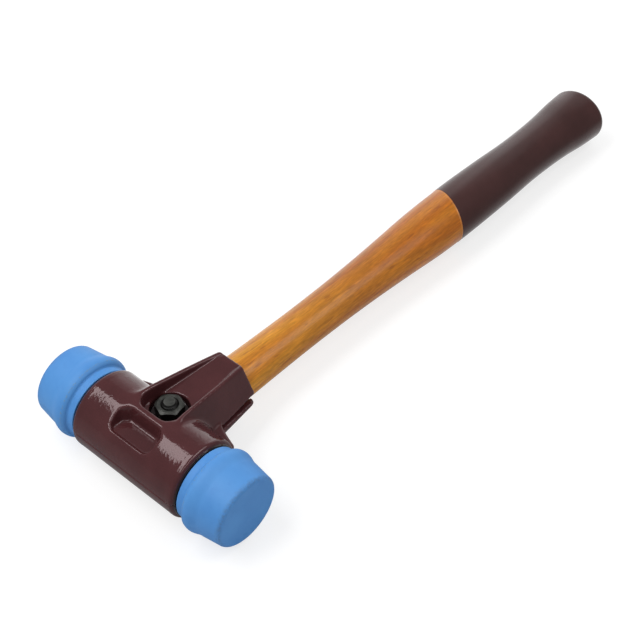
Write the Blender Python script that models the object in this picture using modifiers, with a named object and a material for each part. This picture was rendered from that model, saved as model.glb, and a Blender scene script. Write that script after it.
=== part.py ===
"""Soft face hammer with a split cast housing.

Two cast halves close on two plastic striking inserts and on the tang of a wooden handle.
One bolt clamps them: it comes up through the lower half, which holds its hexagon head in a
pocket, and its nut sits in the long open pocket of the upper half.

Drawing frame, in millimetres: X is the strike axis, Y runs from the head to the butt of the
handle, Z is the bolt axis, and the strike and handle axes cross at zero. The whole drawing
hangs on one empty, which tips it a little so that the inserts and the butt stand on the floor.
"""

import math

import bmesh
import bpy
import numpy as np

MM = 0.001
FIT = 0.3  # gap between pieces that touch on the real hammer
OVERLAP = 2.0  # how far joined shapes run into each other, and cutters past a skin

# Striking inserts
INSERT_RADIUS = 17.0  # at the bulge, the widest ring
FACE_RADIUS = 14.7  # where the side meets the rounded edge of the striking face
FACE_EDGE = 1.8  # rounding of that edge
BAND_RADIUS = 14.8  # short cylinder against the housing
BAND_LENGTH = 3.2
BULGE_FROM_BAND = 3.0  # from the end of the band to the bulge's crest
WAIST_FROM_BULGE = 3.4  # where the bulge runs out into the cone
WAIST_RADIUS = 16.0
HEAD_LENGTH = 95.6  # over both striking faces
STEM_RADIUS = 7.0
STEM_CHAMFER = 1.0

# Barrel of the housing
BARREL_RADIUS = 16.2
BEAD_HEIGHT = 0.3  # raised ring at each end
BEAD_WIDTH = 0.9
BEAD_RUNOUT = 0.5
BEAD_EDGE = 0.3
BARREL_LENGTH = 50.6  # over the outer edges of the beads
MOUTH_LENGTH = 1.5  # cone from the bead to the end face
MOUTH_RADIUS = 14.5
BORE_WALL = 1.4  # between each stem's bore and the tang's cavity
BORE_SPARE = 0.5  # depth left under the stem

# Parting of the two halves: a hairline on the barrel, a gap that widens along the neck
PARTING_GAP = 0.3
GAP_STEP = 18.4  # from the strike axis to where the gap starts
GAP_ABOVE = 0.35  # height of the upper casting's face over the strike axis
GAP_BELOW = 0.45  # depth of the lower casting's face, at the step
GAP_SLOPE = 0.055

# Neck of the housing, upper half
COLLAR_END = 43.0  # from the strike axis
COLLAR_WALL = 1.6  # beside the handle, at the collar's end
NECK_SPREAD = 0.236  # growth of the neck's width for each millimetre towards the barrel
CREST_WIDTH_END = 12.3  # over the two rims, at the collar's end
CREST_SPREAD = 0.226
CREST_HEIGHT_END = 12.7
CREST_RISE = 0.118
CREST_BLEND = 11.0  # where the rims bend down to the barrel's crown
CREST_DIVE = 0.3  # how deep they end under its skin
CREST_CORNER = 0.9  # rounding along the rims
NECK_FILLET = 3.0  # between the neck's sides and the barrel
END_CORNER = 0.6  # rounding of the collar's end
END_DRAFT = 0.12  # lean of the end face
END_DRAFT_RUN = 13.0  # length over which the lean fades out

# Neck of the housing, lower half
LOWER_SETBACK = 1.1  # how much shorter its collar is
LIP_OUT = 0.7  # past the upper half's side
LIP_DEPTH = 2.9  # down from the strike axis to the lip's lower edge
LIP_CORNER = 1.5  # in plan, at the collar's end
KEEL_WIDTH_END = 9.2  # flat underside, at the collar's end
KEEL_SPREAD = 0.23
KEEL_HEIGHT_END = 12.0
KEEL_CORNER = 2.2

# Web along the parting, from the neck out to the barrel's ends
WEB_ROOT = 6.2  # past the barrel's skin, where it leaves the neck
WEB_TIP = 1.6  # past the barrel's skin, at the barrel's end
WEB_REACH = 24.3  # from the middle, along the strike axis
WEB_THICKNESS = 2.5
WEB_HOLLOW = 0.35
WEB_INSET = 0.9  # how far it starts inside the neck's side

# Pocket for the nut on top, and for the bolt's head below
POCKET_START = 0.6  # from the strike axis, at the rims' height
POCKET_FLOOR = 11.2  # height above the strike axis, at the nut
POCKET_RISE = 0.04
POCKET_DRAFT = 0.13
POCKET_CORNER = 4.8
RIM_WIDTH = 1.6
BOLT_FROM_AXIS = 9.3
SEAT_DEPTH = 2.8  # of the nut's round seat, under the pocket's floor
WRENCH_ROOM = 1.83  # from the nut's corners to the seat's wall
HEAD_SEAT = 9.7  # depth below the strike axis

# Size panel, sunk in the barrel
PANEL_LENGTH = 18.9  # along the strike axis, at the floor
PANEL_NEAR = 3.2  # from the strike axis to the foot of the tall wall
PANEL_FAR = 11.5
PANEL_FLOOR = 9.6
PANEL_DRAFT = 0.17
PANEL_FAR_DRAFT = 0.31
PANEL_CHAMFER = 2.8  # upper corners
PANEL_CUT = 1.5  # lower corners

# Clamp bolt and nut, M6
THREAD_DIAMETER = 6.0
BOLT_LENGTH = 25.0
BOLT_POINT = 0.7  # chamfer at the end
HEX_ACROSS_FLATS = 10.0
HEX_FACE = 9.5  # round flat inside the bevel
HEX_TURN = 45.0  # degrees, as the nut was left when tightened
HEAD_HEIGHT = 4.0
NUT_HEIGHT = 5.0
BOLT_CLEARANCE = 0.6

# Handle: its width along the strike axis at stations between the collar and the butt's edge
HANDLE_END = 279.9  # from the strike axis
HANDLE_WIDTHS = (
    (0.0, 18.9),
    (0.073, 18.3),
    (0.167, 18.0),
    (0.261, 18.6),
    (0.33, 19.7),
    (0.411, 21.7),
    (0.492, 24.0),
    (0.586, 24.9),
    (0.697, 24.3),
    (0.809, 22.9),
    (0.903, 24.3),
    (0.963, 26.8),
    (1.0, 27.6),
)
HANDLE_DEPTH_RATIO = 0.88
BUTT_EDGE = 3.2  # rounding
BUTT_DOME = 0.5
BUTT_FLAT = 11.0  # width of the flat in the middle of the butt
TANG_TIP = -3.0  # from the strike axis
TANG_WIDTH = 17.0
TANG_DEPTH = 11.0
TANG_CHAMFER = 1.0
TANG_SHOULDER = 24.0  # where the tang starts to grow into the round handle

TURN_STEPS = 56
HANDLE_SIDES = 40

# Sizes that follow
BEAD_RADIUS = BARREL_RADIUS + BEAD_HEIGHT
INNER_FACE = BARREL_LENGTH / 2 + MOUTH_LENGTH
STRIKE_FACE = HEAD_LENGTH / 2
BORE_END = TANG_WIDTH / 2 + FIT + BORE_WALL
STEM_END = BORE_END + BORE_SPARE
NUT_SEAT = POCKET_FLOOR - SEAT_DEPTH
HEX_CORNER = HEX_ACROSS_FLATS / 2 / math.cos(math.pi / 6)
COLLAR_HALF_WIDTH = HANDLE_WIDTHS[0][1] / 2 + FIT + COLLAR_WALL
BUTT_EDGE_START = HANDLE_END - BUTT_EDGE
BUTT_HALF_WIDTH = HANDLE_WIDTHS[-1][1] / 2
THROUGH = 2 * BARREL_RADIUS  # reach of the cutters that leave the castings on both sides


def srgb(red, green, blue):
    """Linear colour from 0 to 255 display values."""
    values = [v / 255 for v in (red, green, blue)]
    linear = [v / 12.92 if v <= 0.04045 else ((v + 0.055) / 1.055) ** 2.4 for v in values]
    return (*linear, 1.0)


def make_material(name, colour, roughness, metallic=0.0):
    material = bpy.data.materials.new(name)
    material.use_nodes = True
    shader = material.node_tree.nodes["Principled BSDF"]
    shader.inputs["Base Color"].default_value = colour
    shader.inputs["Roughness"].default_value = roughness
    shader.inputs["Metallic"].default_value = metallic
    return material


for leftover in list(bpy.data.objects):
    bpy.data.objects.remove(leftover)

parts = bpy.data.collections.new("soft_face_hammer")
cutters = bpy.data.collections.new("cutters")
for collection in (parts, cutters):
    bpy.context.scene.collection.children.link(collection)

paint = make_material("housing_paint", srgb(78, 48, 50), 0.3)
plastic = make_material("insert_plastic", srgb(84, 146, 218), 0.5)
wood = make_material("handle_wood", srgb(190, 125, 55), 0.35)
black_steel = make_material("bolt_black", srgb(60, 62, 58), 0.45, 0.8)

# The empty carries the drawing frame: tipped until inserts and butt share the floor
butt_depth = BUTT_HALF_WIDTH * HANDLE_DEPTH_RATIO
butt_reach = math.hypot(BUTT_EDGE_START, butt_depth)
tilt = math.asin(INSERT_RADIUS / butt_reach) - math.atan2(butt_depth, BUTT_EDGE_START)
front_edge = -INSERT_RADIUS
back_edge = (HANDLE_END + BUTT_DOME) * math.cos(tilt)
frame = bpy.data.objects.new("hammer_frame", None)
frame.location = (0, -(front_edge + back_edge) / 2 * MM, INSERT_RADIUS * MM)
frame.rotation_euler = (-tilt, 0, 0)
parts.objects.link(frame)


def add_object(name, mesh, material=None, at=(0, 0, 0), tilt=(0, 0, 0)):
    """Put a mesh in the drawing frame, as a part if it has a material and else as a cutter."""
    ob = bpy.data.objects.new(name, mesh)
    ob.parent = frame
    ob.location = [v * MM for v in at]
    ob.rotation_euler = [math.radians(v) for v in tilt]
    if material:
        mesh.materials.append(material)
        parts.objects.link(ob)
    else:
        ob.hide_render = True
        ob.display_type = "WIRE"
        cutters.objects.link(ob)
    return ob


def shade(ob):
    ob.data.shade_smooth()
    ob.data.set_sharp_from_angle(angle=math.radians(35))


def arc(centre, radius, start, end, count):
    """Points of a round stretch, angles in degrees, both ends included."""
    angles = np.radians(np.linspace(start, end, count))
    return [(centre[0] + radius * math.cos(a), centre[1] + radius * math.sin(a)) for a in angles]


def turned(name, profile, steps=TURN_STEPS, **placing):
    """A solid of revolution about its own Z from (radius, height) points, top to bottom."""
    mesh = bpy.data.meshes.new(name)
    points = [(r * MM, 0, z * MM) for r, z in profile]
    mesh.from_pydata(points, [(i, i + 1) for i in range(len(points) - 1)], [])
    ob = add_object(name, mesh, **placing)
    screw = ob.modifiers.new("turn", "SCREW")
    screw.steps = screw.render_steps = steps
    screw.use_merge_vertices = True
    screw.merge_threshold = 0.00001
    screw.use_smooth_shade = True
    return ob


def loft(name, rings, mirrored=False, **placing):
    """A closed body through rings of equally many points, with a face over each end.

    A mirrored ring runs down the right side and back up the left: its ends are closed by strips
    that join each point to its mirror image, so that they need not be flat.
    """
    body = bmesh.new()
    rows = [[body.verts.new([v * MM for v in point]) for point in ring] for ring in rings]
    for low, high in zip(rows, rows[1:]):
        for i in range(len(low)):
            j = (i + 1) % len(low)
            body.faces.new((low[i], low[j], high[j], high[i]))
    for row in (rows[0][::-1], rows[-1]):
        if mirrored:
            for i in range(len(row) // 2 - 1):
                body.faces.new((row[i], row[i + 1], row[-2 - i], row[-1 - i]))
        else:
            body.faces.new(row)
    bmesh.ops.recalc_face_normals(body, faces=body.faces)
    mesh = bpy.data.meshes.new(name)
    body.to_mesh(mesh)
    body.free()
    return add_object(name, mesh, **placing)


def prism(name, sides, radius, bottom, top, turn=0.0, **placing):
    """An upright cylinder, or a hexagon when it has six sides."""
    angles = np.radians(turn) + np.linspace(0, 2 * math.pi, sides, endpoint=False)
    rings = [[(radius * math.cos(a), radius * math.sin(a), z) for a in angles] for z in (bottom, top)]
    return loft(name, rings, **placing)


def block(name, low, high):
    """A box between two corners."""
    body = bmesh.new()
    bmesh.ops.create_cube(body, size=1.0)
    for vert in body.verts:
        vert.co = [(low[i] if vert.co[i] < 0 else high[i]) * MM for i in range(3)]
    mesh = bpy.data.meshes.new(name)
    body.to_mesh(mesh)
    body.free()
    return add_object(name, mesh)


def combine(ob, other, operation):
    step = ob.modifiers.new(operation.lower() + "_" + other.name, "BOOLEAN")
    step.operation = operation
    step.object = other
    step.solver = "EXACT"


def crest_height(y):
    """Height of the rims: straight down to the collar, bent into the barrel's crown."""
    straight = CREST_HEIGHT_END + CREST_RISE * (COLLAR_END - y)
    bend = CREST_HEIGHT_END + CREST_RISE * COLLAR_END - BARREL_RADIUS + CREST_DIVE
    return straight - bend * max(0, 1 - y / CREST_BLEND) ** 2


def crest_half_width(y):
    """Half the width over the two rims."""
    return CREST_WIDTH_END / 2 + CREST_SPREAD / 2 * (COLLAR_END - y)


def seam_half_width(y):
    """Half the width of the neck at the parting."""
    return COLLAR_HALF_WIDTH + NECK_SPREAD / 2 * (COLLAR_END - y)


def neck_side(y, side):
    """Side of the neck across the handle axis: (x, height) from the parting to the top's middle."""
    if side > 0:
        foot, radius = (seam_half_width(y), 0.0), CREST_CORNER
        outer = (crest_half_width(y), crest_height(y))
        points = [(foot[0], -OVERLAP)]
    else:
        foot, radius = (seam_half_width(y) + LIP_OUT, LIP_DEPTH), KEEL_CORNER
        outer = (KEEL_WIDTH_END / 2 + KEEL_SPREAD / 2 * (COLLAR_END - y),
                 crest_height(y) + KEEL_HEIGHT_END - CREST_HEIGHT_END)
        points = [(foot[0], -OVERLAP), (foot[0], 0.0)]
    slope = math.atan2(foot[0] - outer[0], outer[1] - foot[1])
    reach = radius * math.tan((math.pi / 2 - slope) / 2)
    start = (outer[0] + reach * math.sin(slope), outer[1] - reach * math.cos(slope))
    for share in (0, 0.15, 0.3, 0.45, 0.6, 0.72, 0.82, 0.91, 1):
        points.append((foot[0] + (start[0] - foot[0]) * share, foot[1] + (start[1] - foot[1]) * share))
    centre = (outer[0] - reach, outer[1] - radius)
    return points + arc(centre, radius, math.degrees(slope), 90, 5)[1:]


def neck_level(level, side):
    """Plan outline of the neck along one point of its side, with a round fillet at the barrel."""
    def at(y):
        x, z = neck_side(y, side)[level]
        lean = max(0, 1 - (COLLAR_END - y) / END_DRAFT_RUN)
        return x, y - END_DRAFT * max(z, 0) * lean, z
    skin = 0.0
    while math.hypot(skin, at(skin)[2]) < BARREL_RADIUS:
        skin += 0.05
    corner_y = skin + NECK_FILLET
    end, edge = (COLLAR_END, END_CORNER) if side > 0 else (COLLAR_END - LOWER_SETBACK, LIP_CORNER)
    right = []
    for angle in (90, 60, 30, 0):
        a = math.radians(angle)
        x, y, z = at(end - edge * (1 - math.sin(a)))
        right.append((x - edge * (1 - math.cos(a)), y, z))
    for share in (0.75, 0.5, 0.3, 0.17, 0.09, 0.03):
        right.append(at(corner_y + (end - edge - corner_y) * share))
    centre = at(corner_y)[0] + NECK_FILLET
    for x, y in arc((centre, corner_y), NECK_FILLET, 180, 270, 7):
        right.append((x, y, at(y)[2]))
    right.append((centre, skin - OVERLAP, at(skin - OVERLAP)[2]))
    return [(x, y, side * z) for x, y, z in right + [(-x, y, z) for x, y, z in reversed(right)]]


def web_plate(name, side):
    """Flat web from the neck out to the barrel's ends, a little wider on the lower half."""
    out = 0 if side > 0 else LIP_OUT
    root_y = BARREL_RADIUS + WEB_ROOT
    root = (seam_half_width(root_y) + out - WEB_INSET, root_y + out)
    tip = (WEB_REACH, BARREL_RADIUS + WEB_TIP + out / 3)
    middle = ((root[0] + tip[0]) / 2, (root[1] + tip[1]) / 2 - WEB_HOLLOW)
    inside = (root[0] - 2 * OVERLAP, root[1] + OVERLAP / 2)
    right = [inside, root, middle, tip, (WEB_REACH, 2 * OVERLAP)]
    outline = right + [(-x, y) for x, y in reversed(right)]
    levels = sorted((-OVERLAP * side, (WEB_THICKNESS if side > 0 else LIP_DEPTH) * side))
    return loft(name, [[(x, y, z) for x, y in outline] for z in levels])


def pocket_floor(y):
    return POCKET_FLOOR + POCKET_RISE * (y - BOLT_FROM_AXIS)


def pocket_ring(level):
    """Plan outline of the nut pocket, a distance above its floor: open at the collar's end."""
    def half(y):
        rim = CREST_HEIGHT_END + CREST_RISE * (COLLAR_END - y)
        return crest_half_width(y) - RIM_WIDTH - POCKET_DRAFT * (rim - pocket_floor(y) - level)
    end = COLLAR_END + OVERLAP
    start = POCKET_START + POCKET_DRAFT * (BARREL_RADIUS - POCKET_FLOOR - level)
    corner = (half(start + POCKET_CORNER) - POCKET_CORNER, start + POCKET_CORNER)
    right = [(half(end), end), *arc(corner, POCKET_CORNER, 0, -90, 7)]
    outline = right + [(-x, y) for x, y in reversed(right)]
    return [(x, y, pocket_floor(y) + level) for x, y in outline]


def squircle(y, half_width, half_depth, power=1.0):
    """Cross-section of the handle: an ellipse, squared up by a power under one."""
    angles = np.linspace(0, 2 * math.pi, HANDLE_SIDES, endpoint=False)
    across, up = np.cos(angles), np.sin(angles)
    x = half_width * np.sign(across) * np.abs(across) ** power
    z = half_depth * np.sign(up) * np.abs(up) ** power
    return list(zip(x, np.full_like(x, y), z))


def tang_ring(y, grow=0.0):
    """Section of the handle in the housing: a flattened tang that turns into the oval handle."""
    blend = np.clip((y - TANG_SHOULDER) / (COLLAR_END - TANG_SHOULDER), 0, 1)
    blend = blend * blend * (3 - 2 * blend)
    collar_width = HANDLE_WIDTHS[0][1]
    wide = TANG_WIDTH + (collar_width - TANG_WIDTH) * blend
    deep = TANG_DEPTH + (collar_width * HANDLE_DEPTH_RATIO - TANG_DEPTH) * blend
    power = 2 / (3.4 - 1.4 * blend)
    return squircle(y, wide / 2 + grow, deep / 2 + grow, power)


def spread(start, end, count):
    """Evenly spaced values, both ends included."""
    return [start + (end - start) * i / (count - 1) for i in range(count)]


def gap_wedge(name, side):
    """Cutter for the parting gap along the neck, sloping away in the lower half."""
    far = COLLAR_END + THROUGH
    near, end = GAP_ABOVE, GAP_ABOVE
    if side < 0:
        near, end = -GAP_BELOW, -GAP_BELOW - GAP_SLOPE * (far - GAP_STEP)
    beyond = -side * THROUGH
    section = [(GAP_STEP, beyond), (far, beyond), (far, end), (GAP_STEP, near)]
    return loft(name, [[(x, y, z) for y, z in section] for x in (-STRIKE_FACE, STRIKE_FACE)])


def size_panel(name):
    """Cutter for the panel on the barrel: a flat floor, drafted walls and cut corners."""
    def ring(z):
        half = PANEL_LENGTH / 2 + PANEL_DRAFT * (z - PANEL_FLOOR)
        near = -PANEL_NEAR + PANEL_DRAFT * (z - PANEL_FLOOR)
        far = -PANEL_FAR - PANEL_FAR_DRAFT * (z - PANEL_FLOOR)
        right = [(half - PANEL_CUT, far), (half, far + PANEL_CUT), (half, near - PANEL_CHAMFER),
                 (half - PANEL_CHAMFER, near)]
        return [(x, y, z) for x, y in right + [(-x, y) for x, y in reversed(right)]]
    return loft(name, [ring(PANEL_FLOOR), ring(BARREL_RADIUS + OVERLAP)])


def bolt_hole(name):
    """Cutter for the bolt's hole, through everything that it clamps."""
    radius = (THREAD_DIAMETER + BOLT_CLEARANCE) / 2
    return prism(name, 32, radius, -THROUGH, THROUGH, at=(0, BOLT_FROM_AXIS, 0))


def housing_half(name, side):
    """One casting: side is 1 for the upper half with the nut pocket, -1 for the lower one."""
    bead = BARREL_LENGTH / 2
    run = bead - BEAD_WIDTH
    end = [(0, INNER_FACE), (MOUTH_RADIUS, INNER_FACE),
           (BEAD_RADIUS - BEAD_EDGE, bead + BEAD_EDGE / 2), (BEAD_RADIUS, bead - BEAD_EDGE / 2),
           (BEAD_RADIUS, run), (BARREL_RADIUS, run - BEAD_RUNOUT)]
    body = turned(name, end + [(r, -z) for r, z in reversed(end)], material=paint, tilt=(0, 90, 0))

    levels = [neck_level(i, side) for i in range(len(neck_side(COLLAR_END, side)))]
    combine(body, loft(name + "_neck", levels, mirrored=True), "UNION")
    combine(body, web_plate(name + "_web", side), "UNION")

    centre = (0, BOLT_FROM_AXIS, 0)
    if side > 0:
        above = BARREL_RADIUS - POCKET_FLOOR + 2 * OVERLAP
        combine(body, loft(name + "_pocket", [pocket_ring(0), pocket_ring(above)]), "DIFFERENCE")
        seat = prism(name + "_seat", 48, HEX_CORNER + WRENCH_ROOM, NUT_SEAT, THROUGH, at=centre)
        combine(body, seat, "DIFFERENCE")
        combine(body, size_panel(name + "_panel"), "DIFFERENCE")
    else:
        corner = HEX_CORNER + FIT / math.cos(math.pi / 6)
        seat = prism(name + "_seat", 6, corner, -THROUGH, -HEAD_SEAT, at=centre)
        combine(body, seat, "DIFFERENCE")
    combine(body, bolt_hole(name + "_hole"), "DIFFERENCE")

    for way in (1, -1):
        bore = prism(f"{name}_bore_{way}", 48, STEM_RADIUS + FIT, BORE_END, INNER_FACE + OVERLAP,
                     tilt=(0, 90 * way, 0))
        combine(body, bore, "DIFFERENCE")
    cavity = [tang_ring(TANG_TIP - FIT, FIT)]
    cavity += [tang_ring(y, FIT) for y in spread(TANG_SHOULDER, COLLAR_END, 8)]
    cavity.append(tang_ring(COLLAR_END + OVERLAP, FIT))
    combine(body, loft(name + "_cavity", cavity), "DIFFERENCE")

    reach = COLLAR_END + THROUGH
    low, high = sorted((-side * reach, side * PARTING_GAP / 2))
    parting = block(name + "_parting", (-reach, -reach, low), (reach, reach, high))
    combine(body, parting, "DIFFERENCE")
    combine(body, gap_wedge(name + "_gap", side), "DIFFERENCE")
    return body


def striking_insert(name, way):
    """One turned plastic insert, stem inwards: way is 1 for the right side, -1 for the left."""
    base = INNER_FACE + FIT
    band_end = base + BAND_LENGTH
    bulge = band_end + BULGE_FROM_BAND
    waist = bulge + WAIST_FROM_BULGE
    face_corner = (FACE_RADIUS - FACE_EDGE, STRIKE_FACE - FACE_EDGE)
    profile = [(0, STRIKE_FACE), *reversed(arc(face_corner, FACE_EDGE, 0, 90, 6))]
    rise = INSERT_RADIUS - WAIST_RADIUS
    for part in (0.0, 0.25, 0.5, 0.75, 1.0):  # from the waist up to the bulge's crest
        swing = (1 - math.cos(math.pi * part)) / 2
        profile.append((WAIST_RADIUS + rise * swing, waist + (bulge - waist) * part))
    drop = INSERT_RADIUS - BAND_RADIUS
    for angle in (25, 50, 70, 90):  # from the crest down to the band
        a = math.radians(angle)
        profile.append((INSERT_RADIUS - drop * (1 - math.cos(a)), bulge + (band_end - bulge) * math.sin(a)))
    profile += [(BAND_RADIUS, base), (STEM_RADIUS, base), (STEM_RADIUS, STEM_END + STEM_CHAMFER),
                (STEM_RADIUS - STEM_CHAMFER, STEM_END), (0, STEM_END)]
    at_housing = [(r, z - INNER_FACE) for r, z in profile]
    return turned(name, at_housing, material=plastic, at=(way * INNER_FACE, 0, 0), tilt=(0, 90 * way, 0))


def hex_chamfer(height, both_ends):
    """The turned shape that a hexagon is cut to, so that its corners are bevelled at 30 degrees."""
    flat, rim = HEX_FACE / 2, HEX_CORNER + FIT
    drop = (rim - flat) * math.tan(math.radians(30))
    top = [(0, height), (flat, height), (rim, height - drop)]
    if both_ends:
        return top + [(rim, drop), (flat, 0), (0, 0)]
    return top + [(rim, -OVERLAP), (0, -OVERLAP)]


def clamp_bolt():
    """Hex bolt from below, its head held by the pocket and its end past the nut."""
    centre = (0, BOLT_FROM_AXIS, -HEAD_SEAT - FIT)
    radius = THREAD_DIAMETER / 2
    bolt = prism("clamp_bolt", 6, HEX_CORNER, -HEAD_HEIGHT, 0, material=black_steel, at=centre)
    bevel = [(r, -z) for r, z in reversed(hex_chamfer(HEAD_HEIGHT, False))]
    combine(bolt, turned("bolt_bevel", bevel, at=centre), "INTERSECT")
    shank = [(0, BOLT_LENGTH), (radius - BOLT_POINT, BOLT_LENGTH), (radius, BOLT_LENGTH - BOLT_POINT),
             (radius, -HEAD_HEIGHT / 2), (0, -HEAD_HEIGHT / 2)]
    combine(bolt, turned("bolt_shank", shank, 32, at=centre), "UNION")
    return bolt


def clamp_nut():
    """Hex nut on its seat, bevelled on both sides, with a plain bore for the thread."""
    centre = (0, BOLT_FROM_AXIS, NUT_SEAT + FIT)
    radius = THREAD_DIAMETER / 2 + FIT
    nut = prism("clamp_nut", 6, HEX_CORNER, 0, NUT_HEIGHT, turn=HEX_TURN, material=black_steel, at=centre)
    combine(nut, turned("nut_bevel", hex_chamfer(NUT_HEIGHT, True), at=centre), "INTERSECT")
    thread = prism("nut_thread", 32, radius, -OVERLAP, NUT_HEIGHT + OVERLAP, at=centre)
    combine(nut, thread, "DIFFERENCE")
    return nut


def handle_width(y):
    """Smooth curve through the stations, with the slope at each from its two neighbours."""
    shares, widths = np.array(HANDLE_WIDTHS).T
    places = COLLAR_END + shares * (BUTT_EDGE_START - COLLAR_END)
    slopes = np.gradient(widths, places)
    i = int(np.clip(np.searchsorted(places, y) - 1, 0, len(places) - 2))
    length = places[i + 1] - places[i]
    t = np.clip((y - places[i]) / length, 0, 1)
    return (widths[i] * (1 + 2 * t) * (1 - t) ** 2 + slopes[i] * length * t * (1 - t) ** 2
            + widths[i + 1] * t * t * (3 - 2 * t) - slopes[i + 1] * length * t * t * (1 - t))


def handle():
    """Oval handle from the tang in the housing to the domed butt, drilled for the bolt."""
    rings = [tang_ring(TANG_TIP, -TANG_CHAMFER), tang_ring(TANG_TIP + 2 * TANG_CHAMFER)]
    rings += [tang_ring(y) for y in spread(TANG_SHOULDER, COLLAR_END, 8)]
    for y in spread(COLLAR_END, BUTT_EDGE_START, 36)[1:]:
        half = handle_width(y) / 2
        rings.append(squircle(y, half, half * HANDLE_DEPTH_RATIO))
    for angle in (18, 36, 54, 72, 90):
        a = math.radians(angle)
        inset = BUTT_EDGE * (1 - math.cos(a))
        y = BUTT_EDGE_START + BUTT_EDGE * math.sin(a)
        rings.append(squircle(y, BUTT_HALF_WIDTH - inset, BUTT_HALF_WIDTH * HANDLE_DEPTH_RATIO - inset))
    rings.append(squircle(HANDLE_END + BUTT_DOME, BUTT_FLAT / 2, BUTT_FLAT / 2 * HANDLE_DEPTH_RATIO))
    body = loft("handle", rings, material=wood)
    combine(body, bolt_hole("handle_bolt_hole"), "DIFFERENCE")
    return body


upper = housing_half("upper_housing", 1)
lower = housing_half("lower_housing", -1)
left = striking_insert("left_insert", -1)
right = striking_insert("right_insert", 1)
bolt = clamp_bolt()
nut = clamp_nut()
grip = handle()
for piece in (upper, lower, left, right, bolt, nut, grip):
    shade(piece)
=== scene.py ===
"""Soft face hammer: split cast housing, two elastomer faces, ash handle, one clamp bolt.

The file follows the hammer as it is put together. Shapes are worked out in millimetres in the
hammer's own drawing frame: X along the strike axis, Y from the head to the butt, Z along the bolt.
"""

import math

import bmesh
import bpy
import numpy as np
from mathutils import Matrix, Vector


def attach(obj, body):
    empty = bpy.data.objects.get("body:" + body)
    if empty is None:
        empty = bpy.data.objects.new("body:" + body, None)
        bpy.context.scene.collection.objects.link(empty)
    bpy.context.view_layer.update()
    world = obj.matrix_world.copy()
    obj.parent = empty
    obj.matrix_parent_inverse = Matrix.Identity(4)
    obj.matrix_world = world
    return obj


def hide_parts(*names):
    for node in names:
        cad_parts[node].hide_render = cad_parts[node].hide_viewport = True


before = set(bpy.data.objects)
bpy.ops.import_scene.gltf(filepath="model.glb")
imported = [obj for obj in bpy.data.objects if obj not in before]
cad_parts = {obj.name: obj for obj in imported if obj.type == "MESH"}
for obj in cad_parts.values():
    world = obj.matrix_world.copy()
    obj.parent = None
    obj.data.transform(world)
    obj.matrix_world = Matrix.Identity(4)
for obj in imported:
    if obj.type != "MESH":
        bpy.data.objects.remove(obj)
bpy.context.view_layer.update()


# Camera. A long lens about 0.6 m from the head, in front of it to the right and looking down.

CAMERA_PLACE = (0.256936, -0.339938, 0.410691)
CAMERA_TURN = (44.971, -1.003, 41.303)  # degrees

scene = bpy.context.scene
camera = bpy.data.objects.new("camera", bpy.data.cameras.new("camera"))
camera.location = CAMERA_PLACE
camera.rotation_euler = [math.radians(v) for v in CAMERA_TURN]
camera.data.lens = 78.238
camera.data.shift_x, camera.data.shift_y = -0.0060, -0.0087
camera.data.clip_start = 0.01
scene.collection.objects.link(camera)
scene.camera = camera


# Handle. One turned and shaped length of ash under a clear amber lacquer. Its flattened tang sits
# between the two castings, drilled for the clamp bolt, and the grip is dipped in dark red paint.

TIP_ANGLE = math.radians(1.00596)  # the hammer lies on both faces and on the edge of its butt
HEAD_AXIS = (0.0, -131.678, 17.0)  # middle of the head, in millimetres
COLLAR_END = 43.0
HANDLE_END = 279.9
BUTT_EDGE, BUTT_DOME, BUTT_FLAT = 3.2, 0.497, 11.0
DEPTH_RATIO = 0.88
TANG_TIP, TANG_SHOULDER = -3.0, 24.0
TANG_WIDTH, TANG_DEPTH, TANG_CHAMFER = 17.0, 11.0, 1.0
WIDTHS = np.array((  # share of the way from the collar to the butt's edge, width
    (0.0, 18.9), (0.073, 18.3), (0.167, 18.0), (0.261, 18.6), (0.33, 19.7), (0.411, 21.7), (0.492, 24.0),
    (0.586, 24.9), (0.697, 24.3), (0.809, 22.9), (0.903, 24.3), (0.963, 26.8), (1.0, 27.6)))
PAINT_LINE = (175.1, -0.387, 0.05)  # its place along the handle, and its lean with X and Z
PAINT_COAT, PAINT_RISE = 0.12, 0.4  # its thickness, and the length over which its edge rises
LEAN_REACH = 16  # length over which the sections lean with the paint's edge
PAINT_EDGE = (0.0006, 0.00076)  # metres past the line where its colour starts and where it is full
BARE_RING = (-0.0003, 0.0001)  # the same for the pale wood just before it
SECTION_STEP = 1.2
TANG_POWER, HANDLE_POWER = 3.4, 2.0  # squareness of the sections
BOLT_FROM_AXIS = 9.3
BOLT_HOLE = 3.3


def placed(points):
    """Drawing millimetres to metres in the shared frame: turned about X by the tip angle, then moved."""
    x, y, z = np.moveaxis(np.asarray(points, float), -1, 0)
    c, s = math.cos(TIP_ANGLE), math.sin(TIP_ANGLE)
    turned = np.stack([x, c * y + s * z, -s * y + c * z], -1)
    return (turned + HEAD_AXIS) * 0.001


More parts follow.
